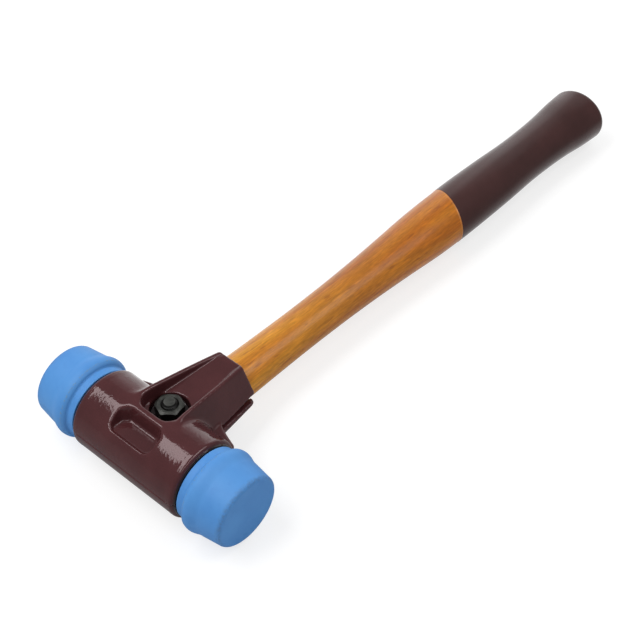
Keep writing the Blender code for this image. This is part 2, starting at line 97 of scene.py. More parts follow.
def skin(name, grid, ends=True):
    """Closed mesh over a grid of points (rows, columns, 3), each row a ring of quads with the next.

    With ends, a fan to the middle of the first and of the last row closes the piece. Without
    them the last row joins the first, as on a nut.
    """
    rows, columns = grid.shape[:2]
    index = np.arange(rows * columns).reshape(rows, columns)
    across, following = np.roll(index, -1, axis=1), np.roll(index, -1, axis=0)
    stop = rows - 1 if ends else rows
    quads = np.stack([index, across, np.roll(following, -1, axis=1), following], -1)[:stop]
    faces = quads.reshape(-1, 4).tolist()
    points = grid.reshape(-1, 3)
    if ends:
        points = np.vstack([points, grid[0].mean(0), grid[-1].mean(0)])
        low, high = len(points) - 2, len(points) - 1
        faces += np.stack([across[0], index[0], np.full(columns, low)], -1).tolist()
        faces += np.stack([index[-1], across[-1], np.full(columns, high)], -1).tolist()
    mesh = bpy.data.meshes.new(name)
    mesh.from_pydata(placed(points).tolist(), [], faces)
    solid = bmesh.new()
    solid.from_mesh(mesh)
    if solid.calc_volume(signed=True) < 0:
        bmesh.ops.reverse_faces(solid, faces=solid.faces)
    solid.to_mesh(mesh)
    solid.free()
    mesh.shade_smooth()
    piece = bpy.data.objects.new(name, mesh)
    scene.collection.objects.link(piece)
    return piece


def with_modifiers(piece):
    """The piece's mesh as its modifiers leave it, in place of the mesh and the modifiers."""
    bpy.context.view_layer.update()
    graph = bpy.context.evaluated_depsgraph_get()
    mesh = bpy.data.meshes.new_from_object(piece.evaluated_get(graph))
    piece.modifiers.clear()
    piece.data = mesh
    mesh.name = piece.name
    return mesh


def grid_map(first, second):
    """Two parameters as a grid: the first along the rows, the second along the columns."""
    return np.meshgrid(first, second, indexing="ij")


def soft_step(share):
    """0 to 1 with level ends: 3 t^2 - 2 t^3."""
    t = np.clip(share, 0, 1)
    return t * t * (3 - 2 * t)


def width_at(y):
    """Cubic curve through the width stations, its slope at each taken from the two neighbours."""
    places = COLLAR_END + WIDTHS[:, 0] * (HANDLE_END - BUTT_EDGE - COLLAR_END)
    widths = WIDTHS[:, 1]
    slopes = np.gradient(widths, places)
    i = np.clip(np.searchsorted(places, y) - 1, 0, len(places) - 2)
    span = places[i + 1] - places[i]
    t = np.clip((y - places[i]) / span, 0, 1)
    return (widths[i] * (1 + 2 * t) * (1 - t) ** 2 + slopes[i] * span * t * (1 - t) ** 2
            + widths[i + 1] * t * t * (3 - 2 * t) - slopes[i + 1] * span * t * t * (1 - t))


def handle_grid(columns=144):
    """Sections along Y: |x/w|^n + |z/d|^n = 1, with n from the tang's power to the handle's.

    Past the collar w is half the width and d is w times the depth ratio. Round the butt both
    shrink by the edge's radius times 1 - cos, and short of the paint they are a coat thinner.
    """
    neck = np.linspace(TANG_SHOULDER, COLLAR_END, 14)
    free = np.arange(COLLAR_END + SECTION_STEP, HANDLE_END - BUTT_EDGE, SECTION_STEP)
    fine = PAINT_LINE[0] + np.linspace(-1.0, 1.0, 11)
    free = np.sort(np.concatenate([free[np.abs(free - PAINT_LINE[0]) > SECTION_STEP], fine]))
    turn = np.radians(np.linspace(0, 90, 16))
    edge = HANDLE_END - BUTT_EDGE + BUTT_EDGE * np.sin(turn)
    dome = np.linspace(0, 1, 8)[1:]
    y = np.concatenate([[TANG_TIP, TANG_TIP + 2 * TANG_CHAMFER], neck, free, edge,
                        HANDLE_END + BUTT_DOME * (1 - (1 - dome) ** 2)])

    blend = soft_step((y - TANG_SHOULDER) / (COLLAR_END - TANG_SHOULDER))
    wide = TANG_WIDTH / 2 + (width_at(y) - TANG_WIDTH) / 2 * blend
    deep = TANG_DEPTH / 2 + (width_at(y) * DEPTH_RATIO - TANG_DEPTH) / 2 * blend
    on_dome = np.arange(len(y)) >= len(y) - len(dome)
    inset = np.zeros_like(y)
    inset[0] = TANG_CHAMFER
    inset[-len(edge) - len(dome):-len(dome)] = BUTT_EDGE * (1 - np.cos(turn))
    inset[on_dome] = BUTT_EDGE + (wide[-1] - BUTT_EDGE - BUTT_FLAT / 2) * dome
    deep = np.where(on_dome, deep * (wide - inset) / wide, deep - inset)
    wide = wide - inset

    row, angle = grid_map(np.arange(len(y)), np.linspace(0, 2 * math.pi, columns, endpoint=False))
    power = (2 / (TANG_POWER + (HANDLE_POWER - TANG_POWER) * blend))[row]
    across, up = np.cos(angle), np.sin(angle)
    x = wide[row] * np.sign(across) * np.abs(across) ** power
    z = deep[row] * np.sign(up) * np.abs(up) ** power
    lean = PAINT_LINE[1] * x + PAINT_LINE[2] * z
    from_paint = y[row] - PAINT_LINE[0]
    place = y[row] + lean * np.exp(-(from_paint / LEAN_REACH) ** 2)
    under = PAINT_COAT * (1 - np.clip(from_paint / PAINT_RISE + 0.5, 0, 1)) * (blend[row] > 0.98)
    thin = 1 - under / wide[row]
    return np.stack([x * thin, place, z * thin], -1)


def drilled(piece, radius, y, reach=40.0, sides=64):
    """Cut a round hole through the piece along Z, at a place on the Y axis."""
    z, a = grid_map(np.array([-reach, reach]), np.linspace(0, 2 * math.pi, sides, endpoint=False))
    drill = skin("drill", np.stack([radius * np.cos(a), y + radius * np.sin(a), z], -1))
    cut = piece.modifiers.new("drill", "BOOLEAN")
    cut.object, cut.operation, cut.solver = drill, "DIFFERENCE", "EXACT"
    with_modifiers(piece)
    bpy.data.objects.remove(drill)


def colour(red, green, blue):
    """Display values from 0 to 255 as a linear colour."""
    values = np.array((red, green, blue)) / 255
    linear = np.where(values <= 0.04045, values / 12.92, ((values + 0.055) / 1.055) ** 2.4)
    return (*linear.tolist(), 1.0)


def give(tree, socket, value):
    """Put a link, a number, a vector or a colour into a socket."""
    if isinstance(value, bpy.types.NodeSocket):
        tree.links.new(value, socket)
    elif value is not None:
        socket.default_value = value


def add(tree, kind, *values, **settings):
    """New node with its settings, fed socket by socket in their order; gives its first output."""
    node = tree.nodes.new("ShaderNode" + kind)
    for name, value in settings.items():
        setattr(node, name, value)
    for socket, value in zip(node.inputs, values):
        give(tree, socket, value)
    return node.outputs[0]


def measure(tree, first, second, operation):
    """One number from a vector or two."""
    node = tree.nodes.new("ShaderNodeVectorMath")
    node.operation = operation
    give(tree, node.inputs[0], first)
    give(tree, node.inputs[1], second)
    return node.outputs["Value"]


def axes(tree, vector):
    """A vector's X, Y and Z."""
    node = tree.nodes.new("ShaderNodeSeparateXYZ")
    give(tree, node.inputs[0], vector)
    return node.outputs


def mix(tree, mask, low, high, way="MIX"):
    """Colours mixed by a mask from 0 to 1."""
    node = tree.nodes.new("ShaderNodeMix")
    node.data_type, node.blend_type = "RGBA", way
    for socket, value in zip((node.inputs[0], node.inputs[6], node.inputs[7]), (mask, low, high)):
        give(tree, socket, value)
    return node.outputs[2]


def noise(tree, vector, scale, detail=3.0, roughness=0.55, distortion=0.0):
    """Fractal noise round a middle of 0.5."""
    return add(tree, "TexNoise", vector, None, scale, detail, roughness, None, None, None, distortion)


def between(tree, value, low, high, to_low=0.0, to_high=1.0):
    """The value's range from low to high spread over another range, and held past both ends."""
    return add(tree, "MapRange", value, low, high, to_low, to_high)


def group(name, outputs, **inputs):
    """Empty node group: named inputs with their socket kinds, and outputs likewise."""
    tree = bpy.data.node_groups.new(name, "ShaderNodeTree")
    for side, sockets in (("INPUT", inputs), ("OUTPUT", outputs)):
        for socket, kind in sockets.items():
            tree.interface.new_socket(socket, in_out=side, socket_type="NodeSocket" + kind)
    return tree, tree.nodes.new("NodeGroupInput").outputs, tree.nodes.new("NodeGroupOutput").inputs


def use(tree, shared, *values):
    """A node group placed in a tree, fed in the order of its inputs; gives its output."""
    node = tree.nodes.new("ShaderNodeGroup")
    node.node_tree = shared
    for socket, value in zip(node.inputs, values):
        give(tree, socket, value)
    return node.outputs[0]


def finish_of(name, roughness, **constants):
    """New material: its tree, its shader's inputs and the piece's own coordinates."""
    material = bpy.data.materials.new(name)
    material.use_nodes = True
    tree = material.node_tree
    sockets = tree.nodes["Principled BSDF"].inputs
    sockets["Roughness"].default_value = roughness
    for socket, value in constants.items():
        sockets[socket.replace("_", " ")].default_value = value
    spot = tree.nodes.new("ShaderNodeTexCoord").outputs["Object"]
    return material, tree, sockets, spot


# Broad uneven tone of a cast, moulded or dipped colour.
mottle, given, result = group("mottle", {"Color": "Color"}, Vector="Vector", Scale="Float", Dark="Color",
                              Light="Color")
patchy = between(mottle, noise(mottle, given["Vector"], given["Scale"], 3), 0.32, 0.68)
give(mottle, result["Color"], mix(mottle, patchy, given["Dark"], given["Light"]))

# Height of the small waves that a thick coat dries into, or of a moulded skin's grain.
skin_waves, given, result = group("skin_waves", {"Height": "Float"}, Vector="Vector", Scale="Float")
give(skin_waves, result["Height"], noise(skin_waves, given["Vector"], given["Scale"], 1.5, 0.5))

wood, tree, sockets, spot = finish_of("lacquered_ash", 0.42, Coat_Roughness=0.2, Specular_IOR_Level=0.2)
grain = add(tree, "Mapping", spot, None, None, (1, 0.06, 1))
rays = add(tree, "Mapping", spot, None, None, (1, 0.14, 1))
slow = add(tree, "Mapping", spot, (0.3, 0, 0), None, (1, 0.22, 1))
pith = add(tree, "Mapping", spot, (0.024, 0, 0.031), (0, 0, 0.02), (1, 0.06, 1))
clouds = between(tree, noise(tree, slow, 60, 3), 0.32, 0.68)
body = mix(tree, clouds, colour(198, 130, 32), colour(217, 149, 40))
bands = add(tree, "TexWave", pith, 95, 2.2, 2.0, 1.3, 0.55, wave_type="RINGS", rings_direction="Y")
body = mix(tree, between(tree, bands, 0.35, 0.95, 0, 0.45), body, colour(190, 108, 30))
fibres = noise(tree, grain, 950, 4, 0.6)
flecks = noise(tree, rays, 1500, 3, 0.6)
body = mix(tree, 1.0, body, between(tree, fibres, 0.3, 0.7, 0.80, 1.16), "MULTIPLY")
body = mix(tree, 1.0, body, between(tree, flecks, 0.3, 0.7, 0.82, 1.16), "MULTIPLY")
dashes = between(tree, noise(tree, rays, 720, 2, 0.5), 0.62, 0.70, 0, 0.5)
body = mix(tree, dashes, body, colour(150, 84, 28))
place = axes(tree, spot)
line = (PAINT_LINE[0] + HEAD_AXIS[1]) * 0.001
along = between(tree, place["Y"], (COLLAR_END + HEAD_AXIS[1]) * 0.001, line)
ripe = mix(tree, between(tree, along, 0, 0.5), (1, 1, 1, 1), (0.70, 0.58, 0.76, 1))
ripe = mix(tree, between(tree, along, 0.45, 1), ripe, (0.76, 0.57, 0.12, 1))
body = mix(tree, 1.0, body, ripe, "MULTIPLY")

leaning = add(tree, "Math", place["X"], -PAINT_LINE[1], place["Y"], operation="MULTIPLY_ADD")
bare = between(tree, leaning, line + BARE_RING[0], line + BARE_RING[1], 0, 0.2)
body = mix(tree, bare, body, colour(214, 158, 104))
painted = between(tree, leaning, line + PAINT_EDGE[0], line + PAINT_EDGE[1])
dip = use(tree, mottle, spot, 60, colour(62, 39, 38), colour(70, 44, 43))
give(tree, sockets["Base Color"], mix(tree, painted, body, dip))
give(tree, sockets["Roughness"], between(tree, painted, 0, 1, 0.42, 0.24))
give(tree, sockets["Coat Weight"], between(tree, painted, 0, 1, 0.4, 0.0))
relief = mix(tree, painted, fibres, use(tree, skin_waves, spot, 600))
give(tree, sockets["Normal"], add(tree, "Bump", 0.6, 0.00003, None, relief))

handle = skin("ash_handle", handle_grid())
drilled(handle, BOLT_HOLE, BOLT_FROM_AXIS)
handle.data.materials.append(wood)
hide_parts("handle")
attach(handle, "grip")


# Castings. Two iron halves from one pair of moulds, with every edge rounded off, sprayed with a
# thick dark red gloss paint that flows into a slight orange peel. The halves close to a hairline
# along the barrel, and its ends are turned to a rounded edge.

GRAIN = 0.385  # millimetres between the points of a casting's skin
ROUNDING = 11  # rounds of relaxing, which leave edges a little over a millimetre round
BARREL_RADIUS = 16.2
BARREL_SKIN, BARREL_REACH = 0.5, 12  # depth of its outer skin, and the Y at which that ends
PARTING_SEEN = 0.05  # width of the hairline
PARTING_BAND, PARTING_HELD = 0.42, 1.3  # heights up to which points go to it, and aren't relaxed
SEAT_RADIUS, SEAT_DEPTHS = 7.6, (9.5, 12.5)  # edge of the nut's seat, which stays crisper
POCKET_FLOOR, POCKET_RISE = 11.2, 0.04  # floor's height at the nut, and its rise to the collar
FOOT_HEIGHT = 0.9  # height of the crisper foot of the pocket's walls
CRISP = 0.3  # share of the relaxing that the seat and the foot get
RIM_HALF_WIDTH, RIM_SPREAD = 5.3, 0.113  # middle of the pocket's rims, from the collar inwards
RIM_HEIGHT, RIM_RISE = 12.7, 0.118  # height of their tops at the collar's end, and its rise inwards
RIM_BEND, RIM_BLEND = 1.87, 11.0  # fall of their tops on to the barrel, and the Y where it starts
RIM_START, RIM_ROUND, RIM_EDGES = 3.0, 0.24, (-1.3, 0.7)  # first Y, curvature and edges of their tops
END_ZONE, END_RADIUS = (23.7, 26.72), 14.0  # distances and radius past which the ends are turned
END_ROUND, END_ROUND_START = 1.75, 24.5  # radius of their edge, and the distance where it starts
END_LIP, END_LIP_SLOPE = 14.9, 0.385  # radius of the mouth, and slope of the narrow cone round it
FINE_FROM = 24.4  # distance from the middle past which the grid is three times as fine
WEB = (7.0, 3.9)  # past this Y and within this height the webs meet the barrel's ends
# Painted shade: the paint goes near black within these distances of the bolt and up to these heights above
# the seat's bottom, down in the nut's seat.
SEAT_SHADE, SEAT_SHADE_HEIGHT = (0.0072, 0.0079), (0.0005, 0.0017)  # metres
# Painted shade: past this distance from the middle the paint goes near black, in the narrow gap between each
# barrel end and its face.
END_SHADE = (0.0260, 0.0263)


def drawn(mesh):
    """The mesh's points back in the drawing frame, in millimetres."""
    flat = np.empty(len(mesh.vertices) * 3)
    mesh.vertices.foreach_get("co", flat)
    x, y, z = (flat.reshape(-1, 3) * 1000 - HEAD_AXIS).T
    c, s = math.cos(TIP_ANGLE), math.sin(TIP_ANGLE)
    return np.stack([x, c * y - s * z, s * y + c * z], -1)


def relaxed(points, edges, free, rounds):
    """Each point goes half of its free share of the way to its neighbours' mean, round by round."""
    a, b = edges.T
    n = len(points)
    count = np.bincount(edges.ravel(), minlength=n)
    for _ in range(rounds):
        total = np.stack([np.bincount(a, points[b, i], n) + np.bincount(b, points[a, i], n)
                          for i in range(3)], -1)
        points = points + free[:, None] * 0.5 * (total / count[:, None] - points)
    return points


def crowned(points, past):
    """Points above the rims' tops go down to them: z = height - round (edge - past)^2."""
    y = points[:, 1]
    height = (RIM_HEIGHT + RIM_RISE * (COLLAR_END - y)
              - RIM_BEND * np.clip(1 - y / RIM_BLEND, 0, 1) ** 2)
    crown = height - RIM_ROUND * (RIM_EDGES[1] - past) ** 2
    high = (y > RIM_START) & (past > RIM_EDGES[0]) & (past < RIM_EDGES[1]) & (points[:, 2] > crown)
    points[high, 2] = crown[high]


def turned_radius(run):
    """Radius near the barrel's ends: an arc down from the barrel, or the mouth's cone where that is wider.

    The arc is R - e + sqrt(e^2 - (run - start)^2), the cone is mouth + slope (end - run).
    """
    past = np.clip(run - END_ROUND_START, 0, END_ROUND)
    arc = BARREL_RADIUS - END_ROUND + np.sqrt(END_ROUND ** 2 - past ** 2)
    return np.maximum(arc, END_LIP + END_LIP_SLOPE * (END_ZONE[1] - run))


def cast(node, name, side):
    """The solid resampled on an even grid, its rims crowned, relaxed and its parting closed.

    On the barrel the points nearest the parting go on to the hairline's edge, at the barrel's
    radius. Near each end the grid is finer, and its points go to the turned radius.
    """
    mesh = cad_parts[node].data.copy()
    mesh.materials.clear()
    body = bmesh.new()
    body.from_mesh(mesh)
    bmesh.ops.remove_doubles(body, verts=body.verts, dist=1e-6)
    body.to_mesh(mesh)
    body.free()
    piece = bpy.data.objects.new(name, mesh)
    scene.collection.objects.link(piece)
    remesh = piece.modifiers.new("grid", "REMESH")
    remesh.mode, remesh.voxel_size = "VOXEL", GRAIN * 0.001
    mesh = with_modifiers(piece)

    points = drawn(mesh)
    edges = np.empty(len(mesh.edges) * 2, int)
    mesh.edges.foreach_get("vertices", edges)
    x, y, z = np.abs(points[:, 0]), points[:, 1], points[:, 2]
    radius = np.hypot(y, z)
    outside = (radius > BARREL_RADIUS - BARREL_SKIN) & (y < BARREL_REACH) & (x < END_ZONE[1])
    held = outside & (np.abs(z) < PARTING_HELD)
    from_seat = np.abs(np.hypot(x, y - BOLT_FROM_AXIS) - SEAT_RADIUS)
    seat = (from_seat < 1) & (z > SEAT_DEPTHS[0]) & (z < SEAT_DEPTHS[1])
    floor = POCKET_FLOOR + POCKET_RISE * (y - BOLT_FROM_AXIS)
    rim = RIM_HALF_WIDTH + RIM_SPREAD * (COLLAR_END - y)
    foot = (np.abs(z - floor) < FOOT_HEIGHT) & (y > 1) & (x < rim - 0.3)
    crowned(points, x - rim)
    free = np.where(held, 0.0, np.where(seat | foot, CRISP, 1.0))
    points = relaxed(points, edges.reshape(-1, 2), free, ROUNDING)
    seam = outside & (np.abs(points[:, 2]) < PARTING_BAND)
    points[seam, 2] = side * PARTING_SEEN / 2
    points[seam, 1] = np.sign(points[seam, 1]) * BARREL_RADIUS
    mesh.vertices.foreach_set("co", placed(points).ravel())

    body = bmesh.new()
    body.from_mesh(mesh)
    run = np.abs(points[:, 0])
    near = (run > FINE_FROM) & (run < END_ZONE[1]) & (radius > END_RADIUS)
    body.verts.ensure_lookup_table()
    chosen = [edge for edge in body.edges if near[edge.verts[0].index] and near[edge.verts[1].index]]
    bmesh.ops.subdivide_edges(body, edges=chosen, cuts=2, use_grid_fill=True)
    bmesh.ops.triangulate(body, faces=[face for face in body.faces if len(face.verts) > 4])
    body.to_mesh(mesh)
    body.free()
    points = drawn(mesh)
    radius = np.hypot(points[:, 1], points[:, 2])
    run = np.abs(points[:, 0])
    web = (points[:, 1] > WEB[0]) & (np.abs(points[:, 2]) < WEB[1])
    turned = (run > END_ZONE[0]) & (run < END_ZONE[1]) & (radius > END_RADIUS) & ~web
    scale = np.where(turned, turned_radius(run) / radius, 1.0)
    points[:, 1:] *= scale[:, None]
    mesh.vertices.foreach_set("co", placed(points).ravel())
    mesh.update()
    mesh.shade_smooth()
    return piece


paint, tree, sockets, spot = finish_of("housing_gloss_paint", 0.1, Specular_IOR_Level=0.42,
                                       Specular_Tint=(1.0, 0.86, 0.88, 1.0))
red = use(tree, mottle, spot, 90, colour(71, 36, 38), colour(79, 41, 43))
# Painted shade, mixed into the paint's colour: near black down in the nut's seat and in the narrow gap at
# each barrel end.
seat_middle = placed((0, BOLT_FROM_AXIS, SEAT_DEPTHS[0])).tolist()
from_seat = add(tree, "VectorMath", spot, seat_middle, operation="SUBTRACT")
from_axis = measure(tree, add(tree, "VectorMath", from_seat, (1, 1, 0), operation="MULTIPLY"), None, "LENGTH")
low_down = between(tree, axes(tree, from_seat)["Z"], *SEAT_SHADE_HEIGHT, 1, 0)
painted_shade = add(tree, "Math", between(tree, from_axis, *SEAT_SHADE, 1, 0), low_down, operation="MULTIPLY")
# Painted shade in the narrow gap between each barrel end and its face.
run = add(tree, "Math", axes(tree, spot)["X"], operation="ABSOLUTE")
painted_shade = add(tree, "Math", painted_shade, between(tree, run, *END_SHADE), operation="MAXIMUM")
give(tree, sockets["Base Color"], mix(tree, painted_shade, red, colour(24, 17, 17)))
give(tree, sockets["Normal"], add(tree, "Bump", 1.0, 0.00006, None, use(tree, skin_waves, spot, 800)))

for node, body_name, side in (("lower_housing", "grip", -1), ("upper_housing", "cover", 1)):
    half = cast(node, node.replace("housing", "casting"), side)
    half.data.materials.append(paint)
    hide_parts(node)
    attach(half, body_name)


# Striking faces. Two round inserts from one mould in a matt blue elastomer: a short band against
# the housing, a bulge with the mould's parting line, a cone and the flat face. A stem holds each.

INNER_FACE, FACE = 27.1, 47.8
BAND_END, BULGE, WAIST = 30.3, 33.3, 38.5
BAND_RADIUS, BULGE_RADIUS, WAIST_RADIUS, FACE_RADIUS = 14.8, 17.0, 15.75, 14.7
FACE_EDGE = 1.8
CREASE = 0.6
MOULD_LINE, LINE_WIDTH, LINE_HEIGHT = 31.7, 0.18, 0.07
STEM_RADIUS, STEM_END, STEM_CHAMFER = 7.0, 10.7, 1.0
# Ring round each face's rounded edge, darker and speckled: partly rubbed dirt and partly painted shade.
RUBBED_AND_SHADED = (0.0455, 0.0470, 0.0474, 0.0478)  # metres from the middle: start, full, fading, end
LINE_SPECKS = (0.0313, 0.0316, 0.0318, 0.0321)


def stretch(start, end, count):
    """Points between two corners of the profile, the last one left out."""
    share = np.linspace(0, 1, count, endpoint=False)[:, None]
    return np.array(start) * (1 - share) + np.array(end) * share


def insert_profile():
    """(distance from the middle, radius) from the stem's end round to the middle of the face.

    The bulge rises as a quarter of an ellipse and falls to the waist as half a cosine wave.
    """
    a = np.radians(np.linspace(90, 0, 18, endpoint=False))
    swell = np.stack([BULGE - (BULGE - BAND_END) * np.sin(a),
                      BULGE_RADIUS - (BULGE_RADIUS - BAND_RADIUS) * (1 - np.cos(a))], -1)
    s = np.linspace(0, 1, 16, endpoint=False)
    fall = np.stack([BULGE + (WAIST - BULGE) * s,
                     BULGE_RADIUS - (BULGE_RADIUS - WAIST_RADIUS) * (1 - np.cos(np.pi * s)) / 2], -1)
    e = np.radians(np.linspace(0, 90, 14))
    edge = np.stack([FACE - FACE_EDGE + FACE_EDGE * np.sin(e), FACE_RADIUS - FACE_EDGE * (1 - np.cos(e))], -1)
    c = np.radians(np.linspace(0, 90, 7, endpoint=False))
    crease = np.stack([BAND_END - CREASE + CREASE * np.sin(c), BAND_RADIUS + CREASE * (1 - np.cos(c))], -1)
    profile = np.concatenate([
        [(STEM_END, 0.4), (STEM_END, STEM_RADIUS - STEM_CHAMFER), (STEM_END + STEM_CHAMFER, STEM_RADIUS)],
        stretch((STEM_END + STEM_CHAMFER + 0.2, STEM_RADIUS), (INNER_FACE - 0.1, STEM_RADIUS), 10),
        [(INNER_FACE, STEM_RADIUS), (INNER_FACE, STEM_RADIUS + 0.2)],
        stretch((INNER_FACE, STEM_RADIUS + 0.4), (INNER_FACE, BAND_RADIUS - 0.25), 8),
        [(INNER_FACE, BAND_RADIUS - 0.2), (INNER_FACE + 0.2, BAND_RADIUS)],
        stretch((INNER_FACE + 0.4, BAND_RADIUS), (BAND_END - CREASE, BAND_RADIUS), 8),
        crease, swell[2:], fall,
        stretch((WAIST, WAIST_RADIUS), (FACE - FACE_EDGE, FACE_RADIUS), 30), edge,
        stretch((FACE, FACE_RADIUS - FACE_EDGE - 0.3), (FACE, 0.4), 24),
    ])
    line = np.exp(-((profile[:, 0] - MOULD_LINE) / LINE_WIDTH) ** 2)
    profile[:, 1] += LINE_HEIGHT * line * (profile[:, 1] > BAND_RADIUS + 0.3)
    return profile


def insert(name, way, columns=160):
    """The profile turned about the strike axis: (way * u, r cos a, r sin a)."""
    profile = insert_profile()
    row, angle = grid_map(np.arange(len(profile)), np.linspace(0, 2 * math.pi, columns, endpoint=False))
    u, r = profile[row, 0], profile[row, 1]
    return skin(name, np.stack([way * u, r * np.cos(angle), r * np.sin(angle)], -1))


def ring_mask(tree, value, start, full, fading, end):
    """1 between full and fading, down to 0 at start and at end."""
    return add(tree, "Math", between(tree, value, start, full), between(tree, value, fading, end, 1, 0),
               operation="MINIMUM")


plastic, tree, sockets, spot = finish_of("blue_elastomer", 0.55, Specular_IOR_Level=0.35)
blue = use(tree, mottle, spot, 70, colour(77, 142, 211), colour(85, 151, 218))
scuff = between(tree, noise(tree, spot, 320, 5, 0.65), 0.52, 0.75, 0, 0.22)
blue = mix(tree, scuff, blue, colour(66, 124, 196))
run = add(tree, "Math", axes(tree, spot)["X"], operation="ABSOLUTE")
# Painted shade with some rubbed dirt: a speckled darker ring round the face's edge.
speckle = between(tree, noise(tree, spot, 900, 3, 0.6), 0.40, 0.62, 0.1, 0.6)
rubbed_and_shaded = add(tree, "Math", ring_mask(tree, run, *RUBBED_AND_SHADED), speckle, operation="MULTIPLY")
blue = mix(tree, rubbed_and_shaded, blue, colour(80, 118, 165))
specks = between(tree, noise(tree, spot, 1500, 2, 0.6), 0.5, 0.62, 0, 0.5)
on_line = add(tree, "Math", ring_mask(tree, run, *LINE_SPECKS), specks, operation="MULTIPLY")
blue = mix(tree, on_line, blue, colour(120, 140, 150))
give(tree, sockets["Base Color"], blue)
give(tree, sockets["Normal"], add(tree, "Bump", 1.0, 0.00001, None, use(tree, skin_waves, spot, 1400)))

for name, way in (("left", -1), ("right", 1)):
    face = insert(name + "_face", way)
    face.data.materials.append(plastic)
    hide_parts(name + "_insert")
    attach(face, name + "_face")


# Clamp bolt and nut. M6 steel with a black oxide finish: the bolt comes up from a hexagonal
# pocket in the lower half, and the nut stands in the long pocket on top.

THREAD_RADIUS, THREAD_DEPTH, PITCH = 3.0, 0.5, 1.0
PLAIN_SHANK, RUN_OUT = 6.0, 2.0
BOLT_HEAD_TOP, HEAD_HEIGHT, BOLT_LENGTH = -10.0, 4.0, 25.0
POINT_RADIUS, POINT_SLOPE = 2.15, 0.85  # cone that cuts the thread at the bolt's end
FLAT_RADIUS, HEX_FACE = 5.0, 4.5  # half the width across flats, radius of the round face inside the bevel
CORNER_CUT, CORNER_WIDTH = 0.12, 0.05  # depth of a worn corner, and its half width in radians
BEVEL = math.tan(math.radians(30))
NUT_SEAT, NUT_HEIGHT, NUT_TURN = 8.7, 5.0, math.radians(41)
THREAD_GAP = 0.08
TOP_WEAR_AND_LIGHT, END_WEAR_AND_LIGHT = (-0.00012, -0.00004), (-0.00006, -0.00002)  # metres: where the wear and painted light start and are full
BEVEL_WEAR_AND_LIGHT = 0.6  # of the wear and painted light on top
BORE_MOUTH = THREAD_RADIUS + 0.55


def hexagon(angle, turn=0.0):
    """Distance from the axis to a hexagon's side: flat / cos of the angle from the flat's middle.

    The corners are cut by a small bell curve.
    """
    off = np.mod(angle - turn, math.pi / 3) - math.pi / 6
    corner = np.exp(-((np.abs(off) - math.pi / 6) / CORNER_WIDTH) ** 2)
    return FLAT_RADIUS / np.cos(off) - CORNER_CUT * corner


def thread(z, angle, radius, depth):
    """Rounded thread: the radius falls from crest to root as a cosine of z/pitch - turns."""
    return radius - depth * (0.5 - 0.5 * np.cos(2 * np.pi * (z / PITCH - angle / (2 * np.pi))))


def rings(*rows):
    """Rows of (radius, height), each a number or an array round the axis, as two grids."""
    return [np.array([np.broadcast_to(row[i], rows[0][0].shape) for row in rows], float) for i in (0, 1)]


def hex_nut(name, columns=192):
    """A ring round the bolt: up the threaded bore, out over the bevelled top, down the six sides."""
    angle = np.linspace(0, 2 * math.pi, columns, endpoint=False)
    outer, even = hexagon(angle, NUT_TURN), np.ones(columns)

    def out(share):
        return HEX_FACE + (outer - HEX_FACE) * share

    def drop(r):
        return np.clip(r - HEX_FACE, 0, None) * BEVEL

    bore = [(thread(z + NUT_SEAT - BOLT_HEAD_TOP, angle, THREAD_RADIUS + THREAD_GAP, THREAD_DEPTH), z)
            for z in np.linspace(0.5, NUT_HEIGHT - 0.5, 60)]
    top = [(BORE_MOUTH + (HEX_FACE - BORE_MOUTH) * share, NUT_HEIGHT) for share in (0, 0.4, 0.75, 0.95, 1)]
    bevel = [(out(share), NUT_HEIGHT - drop(out(share))) for share in (0.1, 0.4, 0.7, 0.92, 1)]
    sides = [(outer, (NUT_HEIGHT - drop(outer) - 0.08) * (1 - share) + (drop(outer) + 0.08) * share)
             for share in np.linspace(0, 1, 9)[1:-1]]
    under = [(out(share), drop(out(share))) for share in (1, 0.92, 0.7, 0.4, 0.1, 0)]
    r, z = rings((even * BORE_MOUTH, 0), *bore, *top, *bevel, *sides, *under, (HEX_FACE - 0.8, 0))
    grid = np.stack([r * np.cos(angle), BOLT_FROM_AXIS + r * np.sin(angle), z + NUT_SEAT], -1)
    return skin(name, grid, ends=False)


def hex_bolt(name, columns=120):
    """From the middle of the head up the hexagon, in to the shank and up the thread to its end."""
    angle = np.linspace(0, 2 * math.pi, columns, endpoint=False)
    outer, even = hexagon(angle), np.ones(columns)

    def cut_shank(z):
        depth = THREAD_DEPTH * np.clip((z - PLAIN_SHANK) / RUN_OUT, 0, 1)
        cone = POINT_RADIUS + POINT_SLOPE * (BOLT_LENGTH - z)
        return np.minimum(thread(z, angle, THREAD_RADIUS, depth), cone)

    head = [(even * 0.5, -HEAD_HEIGHT), (HEX_FACE, -HEAD_HEIGHT),
            (outer, np.clip(outer - HEX_FACE, 0, None) * BEVEL - HEAD_HEIGHT), (outer, -0.1),
            (outer - 0.1, 0), (THREAD_RADIUS + 0.4, 0), (THREAD_RADIUS, 0.3)]
    shank = [(cut_shank(z), z) for z in np.linspace(0.6, BOLT_LENGTH - 0.06, 235)]
    end = [(r, BOLT_LENGTH) for r in (POINT_RADIUS - 0.08, 1.6, 0.8, 0.3)]
    r, z = rings(*head, *shank, *end)
    grid = np.stack([r * np.cos(angle), BOLT_FROM_AXIS + r * np.sin(angle), z + BOLT_HEAD_TOP], -1)
    return skin(name, grid)


steel, tree, sockets, spot = finish_of("black_oxide_steel", 0.42, Metallic=0.6)
# Wear and painted light: the lighter colour for the faces that look up.
worn_and_lit = use(tree, mottle, spot, 500, colour(50, 51, 48), colour(76, 77, 73))
